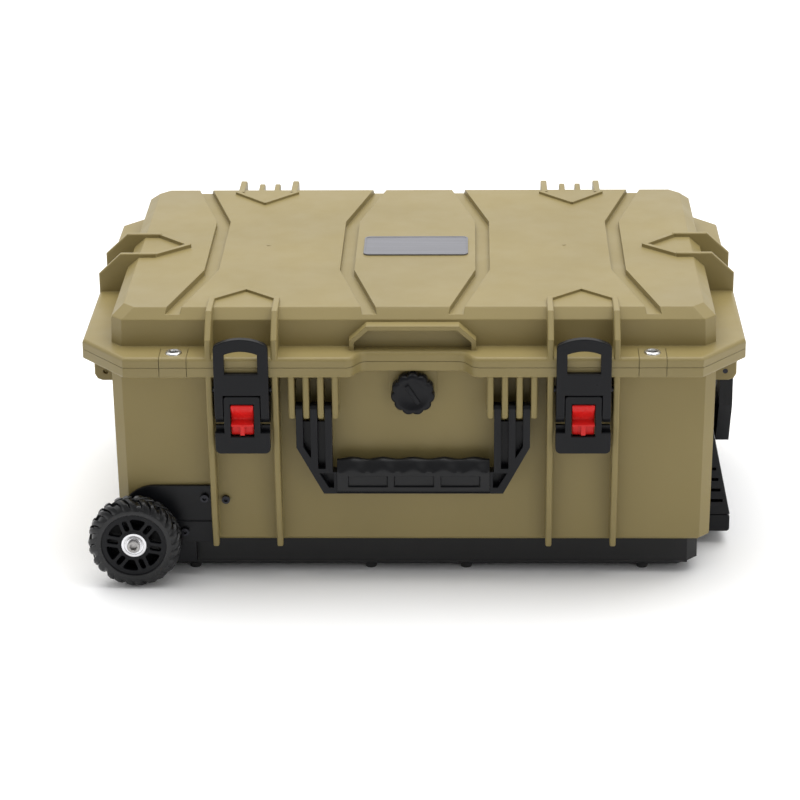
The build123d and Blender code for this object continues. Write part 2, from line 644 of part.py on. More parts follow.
# ---------------------------------------------------------------- latches
for name, middle in (("left", -LATCH_X), ("right", LATCH_X)):
    with BuildPart() as latch_arm:
        with BuildSketch(Plane.XZ.offset(LATCH_FRONT - 5.2)) as outline:
            with BuildLine():
                Line((middle - 22.7, 158.5), (middle - 22.7, 221.0))
                ThreePointArc((middle - 22.7, 221.0), (middle, 227.2), (middle + 22.7, 221.0))
                Polyline(
                    (middle + 22.7, 221.0), (middle + 22.7, 158.5), (middle + 15.6, 158.5),
                    (middle + 15.6, 177.2), (middle - 15.6, 177.2), (middle - 15.6, 158.5), (middle - 22.7, 158.5),
                )
            make_face()
            fillet(outline.vertices().group_by(Axis.Y)[-1], 5.0)
            with BuildLine():
                Line((middle - 13.8, 213.5), (middle - 13.8, 196.4))
                Line((middle - 13.8, 196.4), (middle + 13.8, 196.4))
                Line((middle + 13.8, 196.4), (middle + 13.8, 213.5))
                ThreePointArc((middle + 13.8, 213.5), (middle, 216.3), (middle - 13.8, 213.5))
            make_face(mode=Mode.SUBTRACT)
        extrude(amount=5.2)
        fillet(latch_arm.faces().sort_by(Axis.Y)[0].edges(), 0.8)
        for side in (-1, 1):
            with BuildSketch(Plane.YZ.offset(middle + side * 19.1 - 3.5)):
                with Locations(ARM_PIVOT):
                    Circle(13.0)
                with Locations((1.5 - LATCH_FRONT, 166.5)):
                    Rectangle(1.4, 13.0)
                make_hull()
                with Locations(ARM_PIVOT):
                    Circle(1.75 + PIN_FIT, mode=Mode.SUBTRACT)
            extrude(amount=7.0)
        # the plate's lower edge is hollowed so that it swings over the lever
        with BuildSketch(Plane.YZ.offset(middle - 15.6)):
            with Locations(ARM_PIVOT):
                Circle(ARM_CLEARANCE)
        extrude(amount=31.2, mode=Mode.SUBTRACT)
    latch_arm.part.label = f"latch_arm_{name}"
    export_step(latch_arm.part, f"parts/latch_arm_{name}.step")

    with BuildPart() as latch_lever:
        with BuildSketch(Plane.XZ.offset(LATCH_FRONT - 7.2)) as outline:
            with Locations((middle, 159.8)):
                Rectangle(30.4, 33.6)
            with Locations((middle, 134.7)):
                Rectangle(46.0, 18.8)
            fillet(outline.vertices().group_by(Axis.Y)[0], 4.5)
            fillet(outline.vertices().group_by(Axis.Y)[-1], 2.6)
            with Locations((middle, 155.0)):
                Rectangle(19.6, 28.8, mode=Mode.SUBTRACT)
        extrude(amount=7.0)
        fillet(latch_lever.faces().sort_by(Axis.Y)[0].edges(), 0.8)
        for side in (-1, 1):
            # web behind the pull bar
            with BuildSketch(Plane.XZ.offset(LATCH_FRONT - 9.6)):
                with Locations((middle + side * 18.9, 145.0)):
                    Rectangle(7.4, 7.2)
            extrude(amount=3.0)
            with BuildSketch(Plane.YZ.offset(middle + side * 12.65 - 2.5)):
                with Locations(LEVER_PIVOT, ARM_PIVOT):
                    Circle(4.6)
                with Locations((8.4 - LATCH_FRONT, 160.0)):
                    Rectangle(2.6, 24.0)
                make_hull()
                with Locations(LEVER_PIVOT):
                    Circle(2.5 + PIN_FIT, mode=Mode.SUBTRACT)
                with Locations(ARM_PIVOT):
                    Circle(1.77, mode=Mode.SUBTRACT)
            extrude(amount=5.0)
        with BuildSketch(Plane.YZ.offset(middle - 14.0)):
            with Locations(BUTTON_PIVOT):
                Circle(1.02)
        extrude(amount=28.0, mode=Mode.SUBTRACT)
    latch_lever.part.label = f"latch_lever_{name}"
    export_step(latch_lever.part, f"parts/latch_lever_{name}.step")

    with BuildPart() as latch_button:
        with BuildSketch(Plane.XZ.offset(LATCH_FRONT - 8.0)):
            with Locations((middle, 155.1)):
                Rectangle(18.8, 27.4)
        extrude(amount=8.4)
        with BuildSketch(Plane.YZ.offset(middle - 12)):
            with Locations((-LATCH_FRONT - 5.4, 151.5)):
                Circle(8.6)
        extrude(amount=24, mode=Mode.SUBTRACT)
        with BuildSketch(Plane.YZ.offset(middle - 12)):
            with Locations(BUTTON_PIVOT):
                Circle(1.0 + PIN_FIT)
        extrude(amount=24, mode=Mode.SUBTRACT)
    latch_button.part.label = f"latch_button_{name}"
    export_step(latch_button.part, f"parts/latch_button_{name}.step")

    with BuildPart() as button_pin:
        with BuildSketch(Plane.YZ.offset(middle - 13.5)):
            with Locations(BUTTON_PIVOT):
                Circle(1.0)
        extrude(amount=27.0)
    button_pin.part.label = f"latch_button_pin_{name}"
    export_step(button_pin.part, f"parts/latch_button_pin_{name}.step")

    with BuildPart() as lever_pin:
        with BuildSketch(Plane.YZ.offset(middle - 28.6)):
            with Locations(LEVER_PIVOT):
                Circle(2.5)
        extrude(amount=57.2)
    lever_pin.part.label = f"latch_lever_pin_{name}"
    export_step(lever_pin.part, f"parts/latch_lever_pin_{name}.step")

    with BuildPart() as arm_pins:
        for side in (-1, 1):
            with BuildSketch(Plane.YZ.offset(middle + side * 16.3 - 6.1)):
                with Locations(ARM_PIVOT):
                    Circle(1.75)
            extrude(amount=12.2)
    arm_pins.part.label = f"latch_arm_pins_{name}"
    export_step(arm_pins.part, f"parts/latch_arm_pins_{name}.step")

# ---------------------------------------------------------------- trolley base
with BuildPart() as trolley_base:
    tapered = (BASE[0] - BASE_TAPER, BASE[1] - BASE_TAPER)
    add(drafted(BASE_LOW, BASE_EDGE, tapered, BASE, BASE_CUT))
    add(drafted(BASE_EDGE, BODY_LOW, BASE, BASE, BASE_CUT))
    add(drafted(BASE_LOW + 3.6, BASE_EDGE + 2, tapered, BASE, BASE_CUT, WALL), mode=Mode.SUBTRACT)
    add(drafted(BASE_EDGE + 2, BODY_LOW + 1, BASE, BASE, BASE_CUT, WALL), mode=Mode.SUBTRACT)
    # ribs that hold the outer tubes
    for place in (-150.0, -20.0, 110.0, 232.0):
        with BuildSketch(Plane.YZ.offset(place - 3)):
            with Locations((0, (BASE_EDGE + BODY_LOW) / 2)):
                Rectangle(2 * BASE[1] - 6, BODY_LOW - BASE_EDGE)
            with Locations((0, (BASE_LOW + BASE_EDGE) / 2)):
                Rectangle(2 * (BASE[1] - BASE_TAPER) - 6, BASE_EDGE - BASE_LOW)
        extrude(amount=6)
    with BuildSketch(Plane.YZ.offset(-170)):
        with Locations((-TUBE_Y, TUBE_Z), (TUBE_Y, TUBE_Z)):
            Circle(7.82)
    extrude(amount=430, mode=Mode.SUBTRACT)
    # screw bosses
    with BuildSketch(Plane.XY.offset(BASE_LOW)):
        with GridLocations(*SCREW_GRID, 2, 2):
            Circle(6.0)
    extrude(amount=BODY_LOW - BASE_LOW)
    with BuildSketch(Plane.XY.offset(BASE_LOW - 1)):
        with GridLocations(*SCREW_GRID, 2, 2):
            Circle(2.52)
    extrude(amount=20.0, mode=Mode.SUBTRACT)
trolley_base.part.label = "trolley_base"
export_step(trolley_base.part, "parts/trolley_base.step")

with BuildPart() as base_feet:
    for x in FEET_X:
        for y in (-FOOT_Y, FOOT_Y):
            with BuildSketch(Plane.XY):
                with Locations((x, y)):
                    Circle(4.7)
            with BuildSketch(Plane.XY.offset(BASE_LOW)):
                with Locations((x, y)):
                    Circle(5.4)
            loft()
base_feet.part.label = "base_feet"
export_step(base_feet.part, "parts/base_feet.step")

with BuildPart() as base_screws:
    with GridLocations(*SCREW_GRID, 2, 2):
        with Locations((0, 0, BASE_LOW - 1.6)):
            Cylinder(4.6, 1.6, align=(Align.CENTER, Align.CENTER, Align.MIN))
        with Locations((0, 0, BASE_LOW - 0.1)):
            Cylinder(2.5, 16.0, align=(Align.CENTER, Align.CENTER, Align.MIN))
        with Locations((0, 0, BASE_LOW - 1.7)):
            Cylinder(1.9, 1.2, align=(Align.CENTER, Align.CENTER, Align.MIN), mode=Mode.SUBTRACT)
base_screws.part.label = "base_screws"
export_step(base_screws.part, "parts/base_screws.step")

# ---------------------------------------------------------------- wheels and their housings
for name, side in (("front", 1), ("rear", -1)):
    outward = Plane(origin=(WHEEL[0], 0, WHEEL[1]), x_dir=(side, 0, 0), z_dir=(0, -side, 0))

    with BuildPart() as wheel_housing:
        wall_plane = Plane(origin=(0, 0, 0), x_dir=(side, 0, 0), z_dir=(0, -side, 0))
        with BuildSketch(wall_plane.offset(175.3)):
            with BuildLine():
                Polyline((side * -172.2, BODY_LOW), (side * -172.2, 84.3), (side * -221.0, 84.3))
                ThreePointArc((side * -221.0, 84.3), (side * -238.0, 79.0), (side * -249.0, 66.0))
                Polyline((side * -249.0, 66.0), (side * -249.0, BODY_LOW), (side * -172.2, BODY_LOW))
            make_face()
        extrude(amount=3.2)
        with BuildSketch(wall_plane.offset(171.2)):
            with Locations((side * -217.0, (13.0 + BODY_LOW) / 2)):
                Rectangle(60.0, BODY_LOW - 13.4)
        extrude(amount=7.3)
        with BuildSketch(wall_plane.offset(175.3)):
            with Locations((side * -210.6, (BODY_LOW + 52.0) / 2 - 0.2)):
                Rectangle(76.8, 52.0 - BODY_LOW)
        extrude(amount=4.4)
        with BuildSketch(outward.offset(175.3)):
            Circle(13.0)
        extrude(amount=6.2)
        with BuildSketch(outward.offset(175.2)):
            Circle(AXLE_R + 0.02)
        extrude(amount=8.0, mode=Mode.SUBTRACT)
        with BuildSketch(wall_plane.offset(175.2)):
            with Locations((side * -178.5, 73.7), (side * -196.0, 43.0)):
                Circle(2.02)
        extrude(amount=8.0, mode=Mode.SUBTRACT)
    wheel_housing.part.label = f"wheel_housing_{name}"
    export_step(wheel_housing.part, f"parts/wheel_housing_{name}.step")

    with BuildPart() as wheel_rim:
        with BuildSketch(outward.offset(WHEEL_INNER)):
            Circle(28.0)
        extrude(amount=WHEEL_OUTER - 1.5 - WHEEL_INNER)
        with BuildSketch(outward.offset(WHEEL_OUTER - 1.5)):
            ring_section(24.6, 13.4)
        extrude(amount=-3.0, mode=Mode.SUBTRACT)
        with BuildSketch(outward.offset(WHEEL_INNER)):
            with PolarLocations(18.0, 6):
                Rectangle(8.6, 5.0)
            with PolarLocations(18.3, 6, start_angle=30):
                Polygon((-6.2, 0), (5.2, -6.0), (5.2, 6.0), align=None)
        extrude(amount=40, mode=Mode.SUBTRACT)
        with BuildSketch(outward.offset(WHEEL_INNER - 1)):
            Circle(9.0)
        extrude(amount=40, mode=Mode.SUBTRACT)
        for seat in (WHEEL_INNER - 1, WHEEL_OUTER - 8.4):
            with BuildSketch(outward.offset(seat)):
                Circle(11.02)
            extrude(amount=8.5, mode=Mode.SUBTRACT)
    wheel_rim.part.label = f"wheel_rim_{name}"
    export_step(wheel_rim.part, f"parts/wheel_rim_{name}.step")

    with BuildPart() as wheel_tyre:
        with BuildSketch(outward.offset(WHEEL_INNER)):
            ring_section(WHEEL_R, 28.0)
        extrude(amount=WHEEL_OUTER - WHEEL_INNER)
        shoulders = wheel_tyre.edges().filter_by(GeomType.CIRCLE).sort_by(SortBy.RADIUS)[-2:]
        fillet(shoulders, 5.0)
    wheel_tyre.part.label = f"wheel_tyre_{name}"
    export_step(wheel_tyre.part, f"parts/wheel_tyre_{name}.step")

    with BuildPart() as wheel_bearings:
        for seat in (WHEEL_INNER + 0.4, WHEEL_OUTER - 8.3):
            with BuildSketch(outward.offset(seat)):
                ring_section(11.0, AXLE_R + PIN_FIT)
            extrude(amount=7.0)
    wheel_bearings.part.label = f"wheel_bearings_{name}"
    export_step(wheel_bearings.part, f"parts/wheel_bearings_{name}.step")

    with BuildPart() as wheel_axle:
        with BuildSketch(outward.offset(175.6)):
            Circle(AXLE_R)
        extrude(amount=WHEEL_OUTER - 1.0 - 175.6)
        with BuildSketch(outward.offset(WHEEL_OUTER - 1.1)):
            Circle(5.6)
        extrude(amount=4.1)
        with BuildSketch(outward.offset(WHEEL_OUTER + 3.0)):
            RegularPolygon(2.9, 6)
        extrude(amount=-2.8, mode=Mode.SUBTRACT)
    wheel_axle.part.label = f"wheel_axle_{name}"
    export_step(wheel_axle.part, f"parts/wheel_axle_{name}.step")

    with BuildPart() as wheel_spacers:
        with BuildSketch(outward.offset(WHEEL_INNER + 7.6)):
            ring_section(5.6, AXLE_R + 0.02)
        extrude(amount=WHEEL_OUTER - WHEEL_INNER - 16.1)
        with BuildSketch(outward.offset(181.5)):
            ring_section(5.6, AXLE_R + 0.02)
        extrude(amount=1.3)
    wheel_spacers.part.label = f"wheel_spacers_{name}"
    export_step(wheel_spacers.part, f"parts/wheel_spacers_{name}.step")

with BuildPart() as housing_bolts:
    for side in (1, -1):
        wall_plane = Plane(origin=(0, 0, 0), x_dir=(side, 0, 0), z_dir=(0, -side, 0))
        for x, z, face_y in ((-178.5, 73.7, 178.5), (-196.0, 43.0, 179.7), (-160.5, 71.0, 175.0)):
            with BuildSketch(wall_plane.offset(face_y)):
                with Locations((side * x, z)):
                    Circle(3.5)
            extrude(amount=3.4)
            with BuildSketch(wall_plane.offset(face_y + 3.4)):
                with Locations((side * x, z)):
                    RegularPolygon(1.9, 6)
            extrude(amount=-2.0, mode=Mode.SUBTRACT)
            if face_y > 176:
                with BuildSketch(wall_plane.offset(175.4)):
                    with Locations((side * x, z)):
                        Circle(2.0)
                extrude(amount=face_y - 175.4)
housing_bolts.part.label = "housing_bolts"
export_step(housing_bolts.part, "parts/housing_bolts.step")

# ---------------------------------------------------------------- pull-out handle
stages = (("outer_tubes", 7.8, 6.7, -165.0, 242.8), ("middle_tubes", 6.4, 5.5, -150.0, 246.0),
          ("inner_tubes", 5.2, 4.2, -140.0, 260.0))
for name, outside, inside, start, end in stages:
    with BuildPart() as tubes:
        for side in (-1, 1):
            with BuildSketch(Plane.YZ.offset(start)):
                with Locations((side * TUBE_Y, TUBE_Z)):
                    ring_section(outside, inside)
            extrude(amount=end - start)
    tubes.part.label = name
    export_step(tubes.part, f"parts/{name}.step")

with BuildPart() as pull_grip:
    with BuildSketch(Plane.XZ.offset(-GRIP_HALF)):
        Polygon(
            (249.0, GRIP_LOW), (CRADLE_FOOT_X, GRIP_LOW), (CRADLE_FOOT_X, GRIP_TOP), (249.0, GRIP_TOP), align=None,
        )
    extrude(amount=2 * GRIP_HALF)
    fillet(pull_grip.edges().filter_by(Axis.Y), 3.0)
    fillet(pull_grip.faces().filter_by(Axis.Y).edges(), 1.0)
    # finger scoop behind the bar
    with BuildSketch(Plane.XY.offset(GRIP_LOW - 1)):
        with Locations((249.0, 0)):
            RectangleRounded(16.0, 118.0, 6.0)
    extrude(amount=30, mode=Mode.SUBTRACT)
    # sockets for the inner tubes
    with BuildSketch(Plane.YZ.offset(248.0)):
        with Locations((-TUBE_Y, TUBE_Z), (TUBE_Y, TUBE_Z)):
            Circle(5.22)
    extrude(amount=12.4, mode=Mode.SUBTRACT)
    # pocket for the release button
    with BuildSketch(Plane.YZ.offset(CRADLE_FOOT_X - 7.0)):
        with Locations((0, (GRIP_LOW + GRIP_TOP) / 2)):
            RectangleRounded(30.6, 9.6, 3.0)
    extrude(amount=10, mode=Mode.SUBTRACT)
pull_grip.part.label = "pull_grip"
export_step(pull_grip.part, "parts/pull_grip.step")

with BuildPart() as grip_button:
    with BuildSketch(Plane.YZ.offset(CRADLE_FOOT_X - 3.6)):
        with Locations((0, (GRIP_LOW + GRIP_TOP) / 2)):
            RectangleRounded(30.0, 9.0, 2.8)
    extrude(amount=3.9)
    fillet(grip_button.faces().sort_by(Axis.X)[-1].edges(), 0.8)
grip_button.part.label = "grip_button"
export_step(grip_button.part, "parts/grip_button.step")

with BuildPart() as grip_cradle:
    foot = GRIP_TOP + 0.6
    slope = (CRADLE_FOOT_X - CRADLE_TOP[0]) / (CRADLE_TOP[1] - foot)
    with BuildSketch(Plane.XZ.offset(-GRIP_HALF)):
        Polygon(
            (253.9, foot), (CRADLE_FOOT_X, foot), (CRADLE_TOP[0] + 0.6, CRADLE_TOP[1]),
            (CRADLE_TOP[0], CRADLE_TOP[1]), align=None,
        )
    extrude(amount=2 * GRIP_HALF)
    slopes = grip_cradle.faces().sort_by(Axis.X)[-1].edges().filter_by(Axis.Y, reverse=True)
    fillet(slopes, 1.0)
    # hollow behind the sloping panel
    with BuildSketch(Plane.XZ.offset(-GRIP_HALF + 3.5)):
        Polygon(
            (253.0, foot + 3.0), (CRADLE_FOOT_X - 4.0, foot + 3.0), (CRADLE_TOP[0] - 1.0, CRADLE_TOP[1] - 8.0),
            (253.0, CRADLE_TOP[1] - 8.0), align=None,
        )
    extrude(amount=2 * GRIP_HALF - 7.0, mode=Mode.SUBTRACT)
    # louvres through both cheeks
    for level in (71.0, 61.0, 51.0, 41.0):
        outer = CRADLE_TOP[0] + (CRADLE_TOP[1] - level) * slope - 4.0
        with BuildSketch(Plane.XZ.offset(-GRIP_HALF - 1)):
            Polygon(
                (256.5, level - 1.4), (outer, level - 1.4), (outer, level + 1.4), (256.5, level + 1.4), align=None,
            )
        extrude(amount=2 * GRIP_HALF + 2, mode=Mode.SUBTRACT)
grip_cradle.part.label = "grip_cradle"
export_step(grip_cradle.part, "parts/grip_cradle.step")
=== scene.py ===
"""Looks of the wheeled hard equipment case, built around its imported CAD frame. Metres, +Z up."""
import json
import math

import bmesh
import bpy
from mathutils import Matrix, Vector


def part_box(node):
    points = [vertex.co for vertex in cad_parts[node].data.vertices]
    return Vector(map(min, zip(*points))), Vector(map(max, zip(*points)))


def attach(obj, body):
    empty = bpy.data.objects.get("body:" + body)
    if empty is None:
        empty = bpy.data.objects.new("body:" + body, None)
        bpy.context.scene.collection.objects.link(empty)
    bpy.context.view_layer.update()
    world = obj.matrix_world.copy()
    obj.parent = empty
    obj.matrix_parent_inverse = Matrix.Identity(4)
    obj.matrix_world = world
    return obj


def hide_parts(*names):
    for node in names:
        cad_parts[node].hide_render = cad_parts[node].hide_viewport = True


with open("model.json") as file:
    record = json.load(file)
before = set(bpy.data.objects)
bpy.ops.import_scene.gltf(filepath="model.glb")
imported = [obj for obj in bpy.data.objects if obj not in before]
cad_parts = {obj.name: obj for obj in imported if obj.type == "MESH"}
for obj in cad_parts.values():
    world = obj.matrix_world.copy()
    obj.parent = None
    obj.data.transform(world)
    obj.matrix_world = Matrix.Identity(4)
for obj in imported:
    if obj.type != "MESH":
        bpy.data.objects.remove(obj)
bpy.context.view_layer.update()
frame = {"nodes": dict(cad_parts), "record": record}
nodes = frame["nodes"]
MM = 0.001

# ---------------------------------------------------------------- places taken from the frame
BUTTON_LOW, BUTTON_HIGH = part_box("latch_button_left")
LATCH_X = abs(sum(corner.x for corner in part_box("latch_arm_left")) / 2)
GRIP_LOW, GRIP_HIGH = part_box("front_handle_grip")
KNOB_LOW, KNOB_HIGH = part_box("valve_knob")
TYRE_LOW, TYRE_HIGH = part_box("wheel_tyre_front")
WHEEL_X = (TYRE_LOW.x + TYRE_HIGH.x) / 2
WHEEL_Z = (TYRE_LOW.z + TYRE_HIGH.z) / 2
WHEEL_OUT = -TYRE_LOW.y
WHEEL_IN = -TYRE_HIGH.y
EYELET_LOW, EYELET_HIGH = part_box("lid_eyelets")
LABEL_LOW, LABEL_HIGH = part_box("label_plate")


# ---------------------------------------------------------------- materials
class Nodes:
    """A small helper that adds and joins shader nodes."""

    def __init__(self, name):
        self.material = bpy.data.materials.new(name)
        self.material.use_nodes = True
        self.tree = self.material.node_tree
        self.shader = self.tree.nodes["Principled BSDF"]
        self.place = self.add("ShaderNodeTexCoord").outputs["Object"]

    def add(self, kind, **values):
        node = self.tree.nodes.new(kind)
        for key, value in values.items():
            setattr(node, key, value)
        return node

    def join(self, source, target):
        self.tree.links.new(source, target)

    def noise(self, scale, detail=2.0, stretch=(1, 1, 1)):
        mapping = self.add("ShaderNodeMapping")
        mapping.inputs["Scale"].default_value = stretch
        self.join(self.place, mapping.inputs["Vector"])
        texture = self.add("ShaderNodeTexNoise")
        texture.inputs["Scale"].default_value = scale
        texture.inputs["Detail"].default_value = detail
        self.join(mapping.outputs["Vector"], texture.inputs["Vector"])
        return texture.outputs["Fac"]

    def ramp(self, factor, low, high, start=0.35, stop=0.65):
        ramp = self.add("ShaderNodeValToRGB")
        ramp.color_ramp.elements[0].position = start
        ramp.color_ramp.elements[0].color = (*low, 1)
        ramp.color_ramp.elements[1].position = stop
        ramp.color_ramp.elements[1].color = (*high, 1)
        self.join(factor, ramp.inputs["Fac"])
        return ramp.outputs["Color"]

    def spread(self, factor, low, high):
        spread = self.add("ShaderNodeMapRange")
        spread.inputs["From Min"].default_value = 0.3
        spread.inputs["From Max"].default_value = 0.7
        spread.inputs["To Min"].default_value = low
        spread.inputs["To Max"].default_value = high
        self.join(factor, spread.inputs["Value"])
        return spread.outputs["Result"]

    def mix(self, factor, first, second):
        mix = self.add("ShaderNodeMix", data_type="RGBA")
        self.join(factor, mix.inputs["Factor"])
        self.join(first, mix.inputs["A"])
        self.join(second, mix.inputs["B"])
        return mix.outputs["Result"]

    def bump(self, height, strength, distance, normal=None):
        bump = self.add("ShaderNodeBump")
        bump.inputs["Strength"].default_value = strength
        bump.inputs["Distance"].default_value = distance
        self.join(height, bump.inputs["Height"])
        if normal is not None:
            self.join(normal, bump.inputs["Normal"])
        return bump.outputs["Normal"]


def moulded(name, colour, roughness, grain=0.25, wear=0.12, soften=0.0006, spread=0.05, specular=0.5):
    """Moulded plastic or rubber: fine grain, faint flow marks, uneven gloss and paler worn edges."""
    make = Nodes(name)
    dark = [c * (1 - spread) for c in colour]
    light = [c * (1 + spread) for c in colour]
    base = make.ramp(make.noise(9, 3, (1, 1, 0.5)), dark, light)
    pale = [c * 0.7 + 0.3 * (sum(colour) / 3 + 0.12) for c in colour]
    worn = make.add("ShaderNodeRGB")
    worn.outputs[0].default_value = (*pale, 1)
    geometry = make.add("ShaderNodeNewGeometry")
    edge = make.add("ShaderNodeMapRange")
    edge.inputs["From Min"].default_value = 0.53
    edge.inputs["From Max"].default_value = 0.66
    edge.inputs["To Max"].default_value = wear
    make.join(geometry.outputs["Pointiness"], edge.inputs["Value"])
    make.join(make.mix(edge.outputs["Result"], base, worn.outputs[0]), make.shader.inputs["Base Color"])
    gloss = make.spread(make.noise(35, 4), roughness - 0.05, roughness + 0.06)
    make.join(gloss, make.shader.inputs["Roughness"])
    make.shader.inputs["Specular IOR Level"].default_value = specular
    bevel = make.add("ShaderNodeBevel", samples=4)
    bevel.inputs["Radius"].default_value = soften
    coarse = make.bump(make.noise(700, 2), grain, 0.00006, bevel.outputs["Normal"])
    fine = make.bump(make.noise(2600, 1), grain * 0.8, 0.00003, coarse)
    make.join(fine, make.shader.inputs["Normal"])
    return make.material


def metal(name, colour, roughness, brushed=(1, 1, 1), scale=900):
    """Bare or plated metal with fine tool marks and uneven polish."""
    make = Nodes(name)
    make.shader.inputs["Metallic"].default_value = 1.0
    marks = make.noise(scale, 3, brushed)
    dark = [c * 0.86 for c in colour]
    make.join(make.ramp(make.noise(120, 3), dark, colour), make.shader.inputs["Base Color"])
    make.join(make.spread(marks, roughness * 0.75, roughness * 1.3), make.shader.inputs["Roughness"])
    make.join(make.bump(marks, 0.18, 0.00002), make.shader.inputs["Normal"])
    return make.material


TAN = moulded("tan_moulding", (0.248, 0.195, 0.076), 0.42, grain=0.14, wear=0.2, soften=0.0009, spread=0.04,
             specular=0.3)
BLACK = moulded("black_moulding", (0.0050, 0.0053, 0.0068), 0.32, grain=0.2, wear=0.12, soften=0.0005,
               specular=0.2)
BASE_BLACK = moulded("black_base_moulding", (0.0040, 0.0040, 0.0043), 0.44, grain=0.26, wear=0.08,
                     soften=0.0008, specular=0.3)
GRIP = moulded("soft_grip_rubber", (0.0050, 0.0052, 0.0062), 0.32, grain=0.2, wear=0.06, specular=0.3)
TYRE = moulded("tyre_rubber", (0.0048, 0.0050, 0.0058), 0.3, grain=0.3, wear=0.3, specular=0.45)
SEAL = moulded("seal_rubber", (0.02, 0.02, 0.02), 0.6, grain=0.3, wear=0.05)
RED = moulded("red_button_plastic", (0.62, 0.012, 0.010), 0.28, grain=0.08, wear=0.1, soften=0.0004,
              specular=0.25)
STEEL = metal("zinc_plated_steel", (0.80, 0.80, 0.80), 0.3)
AXLE = metal("axle_steel", (0.42, 0.41, 0.40), 0.32)
BEARING = metal("bearing_steel", (0.80, 0.80, 0.82), 0.2)
ALUMINIUM = metal("drawn_aluminium", (0.75, 0.75, 0.77), 0.35, brushed=(0.02, 1, 1))
BOLT = metal("black_oxide_steel", (0.035, 0.035, 0.04), 0.35)


def label_finish():
    """Brushed dark grey plate whose tone drifts along its length."""
    make = Nodes("brushed_label")
    make.shader.inputs["Metallic"].default_value = 0.35
    streaks = make.noise(400, 4, (0.03, 1, 1))
    tone = make.ramp(streaks, (0.135, 0.135, 0.15), (0.185, 0.185, 0.205))
    make.join(tone, make.shader.inputs["Base Color"])
    make.join(make.spread(streaks, 0.3, 0.42), make.shader.inputs["Roughness"])
    make.join(make.bump(streaks, 0.1, 0.00002), make.shader.inputs["Normal"])
    return make.material


LABEL = label_finish()
SLOT_MATERIAL = {
    "tan_shell": TAN, "black_moulded": BLACK, "soft_grip": GRIP, "red_button": RED, "grey_label": LABEL,
    "steel_pin": STEEL, "black_bolt": BOLT, "bearing_steel": BEARING, "tube_aluminium": ALUMINIUM,
    "tyre_rubber": TYRE, "seal_rubber": SEAL,
}


def paint(thing, material):
    thing.data.materials.clear()
    thing.data.materials.append(material)


for row in frame["record"]["subparts"]:
    paint(nodes[row["node"]], SLOT_MATERIAL[row["material_slot"]])
paint(nodes["trolley_base"], BASE_BLACK)
# the latches' and handles' pins are steel in the record, and look dark
for row in frame["record"]["subparts"]:
    if row["material_slot"] == "steel_pin" and ("latch" in row["node"] or "handle" in row["node"]):
        paint(nodes[row["node"]], BOLT)
for name in nodes:
    nodes[name].data.shade_smooth()
    nodes[name].data.set_sharp_from_angle(angle=math.radians(28))


# ---------------------------------------------------------------- mesh helpers
def finish_piece(name, mesh, material, body, replaced=(), smooth=32):
    """Wrap a mesh in an object that rides on a body and stands for some CAD nodes."""
    mesh.name = name
    piece = bpy.data.objects.new(name, mesh)
    bpy.context.scene.collection.objects.link(piece)
    paint(piece, material)
    mesh.shade_smooth()
    mesh.set_sharp_from_angle(angle=math.radians(smooth))
    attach(piece, body)
    if replaced:
        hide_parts(*replaced)
    return piece


def mesh_from(points, faces):
    mesh = bpy.data.meshes.new("piece")
    mesh.from_pydata([tuple(p) for p in points], [], faces)
    tidy(mesh)
    return mesh


def tidy(mesh):
    work = bmesh.new()
    work.from_mesh(mesh)
    bmesh.ops.remove_doubles(work, verts=work.verts, dist=1e-7)
    bmesh.ops.recalc_face_normals(work, faces=work.faces)
    work.to_mesh(mesh)
    work.free()


def joined(meshes):
    """Several meshes as one."""
    work = bmesh.new()
    for mesh in meshes:
        work.from_mesh(mesh)
        bpy.data.meshes.remove(mesh)
    result = bpy.data.meshes.new("piece")
    work.to_mesh(result)
    work.free()
    return result


def rounded(corners, radius, steps=6):
    """A closed outline with every corner rounded; radius is one number or one per corner."""
    radii = radius if isinstance(radius, (list, tuple)) else [radius] * len(corners)
    outline = []
    for i, corner in enumerate(corners):
        here = Vector(corner)
        before = (Vector(corners[i - 1]) - here).normalized()
        after = (Vector(corners[(i + 1) % len(corners)]) - here).normalized()
        angle = before.angle(after)
        if radii[i] <= 0 or angle > math.pi - 0.01:
            outline.append(tuple(here))
            continue
        reach = radii[i] / math.tan(angle / 2)
        centre = here + (before + after).normalized() * (radii[i] / math.sin(angle / 2))
        start = here + before * reach - centre
        end = here + after * reach - centre
        sweep = math.atan2(start.x * end.y - start.y * end.x, start.dot(end))
        for k in range(steps + 1):
            turn = sweep * k / steps
            outline.append((
                centre.x + start.x * math.cos(turn) - start.y * math.sin(turn),
                centre.y + start.x * math.sin(turn) + start.y * math.cos(turn),
            ))
    return outline


def circle(radius, count=48):
    steps = [2 * math.pi * k / count for k in range(count)]
    return [(radius * math.cos(a), radius * math.sin(a)) for a in steps]


def area_of(loop):
    total = 0.0
    for (x, y), (u, v) in zip(loop, loop[1:] + loop[:1]):
        total += x * v - u * y
    return total / 2


